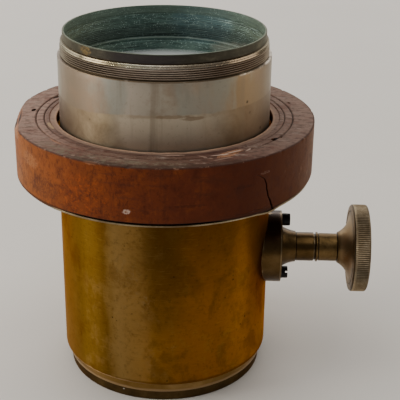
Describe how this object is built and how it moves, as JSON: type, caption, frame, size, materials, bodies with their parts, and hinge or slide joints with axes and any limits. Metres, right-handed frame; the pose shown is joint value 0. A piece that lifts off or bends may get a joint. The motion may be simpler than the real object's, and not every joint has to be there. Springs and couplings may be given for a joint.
{
  "type": "portrait lens",
  "caption": "Vintage portrait lens: glass groups in a tube that slides in a brass barrel by a radial rack and pinion, with a turned wood mounting ring.",
  "frame": {"origin": "on the optical axis, in the plane that the front rim rests on", "axes": "+Z along the optical axis from front to rear (up as the lens stands), +X along the focusing shaft towards its knob"},
  "size_m": [0.1386, 0.1142, 0.1373],
  "materials": {
    "lacquered_brass": "aged lacquer over polished brass",
    "silvered_brass": "worn silvery plating",
    "blackened_brass": "blackened, worn at the edges",
    "patinated_brass": "dull brown patina",
    "bright_brass": "machined",
    "shaft_steel": "ground",
    "blued_steel": "blued, oily black",
    "turned_wood": "old stained and waxed, chipped",
    "optical_glass": "polished"
  },
  "bodies": {
    "inner_barrel": {"focusing_tube": "silvered_brass", "slot_cover": "bright_brass", "focus_rack": "bright_brass", "rack_screws": "blued_steel", "front_cell": "blackened_brass", "front_crown_lens": "optical_glass", "front_flint_lens": "optical_glass", "front_retaining_ring": "blackened_brass", "rear_cell": "blackened_brass", "rear_flint_lens": "optical_glass", "rear_spacer_ring": "blackened_brass", "rear_crown_lens": "optical_glass", "rear_retaining_ring": "blackened_brass"},
    "outer_assembly": {"outer_barrel": "lacquered_brass", "mounting_flange": "lacquered_brass", "flange_screws": "blued_steel", "wood_ring": "turned_wood", "pinion_housing": "patinated_brass", "bearing_cap": "patinated_brass", "cap_screws": "blued_steel"},
    "pinion": {"pinion_gear": "bright_brass", "pinion_shaft": "shaft_steel", "thrust_ring": "patinated_brass", "focus_knob": "patinated_brass"}
  },
  "joints": [
    {"name": "focus_slide", "type": "slide", "parent": "inner_barrel", "child": "outer_assembly", "axis": [0, 0, 1], "range_m": [-0.006, 0.024]},
    {"name": "knob_turn", "type": "hinge", "parent": "outer_assembly", "child": "pinion", "pos_m": [0.0612, 0, 0.0488], "axis": [1, 0, 0], "range_deg": [-354, 90]}
  ],
  "couplings": [
    {"joint": "knob_turn", "follows": "focus_slide", "rad_per_m": -256.41}
  ]
}
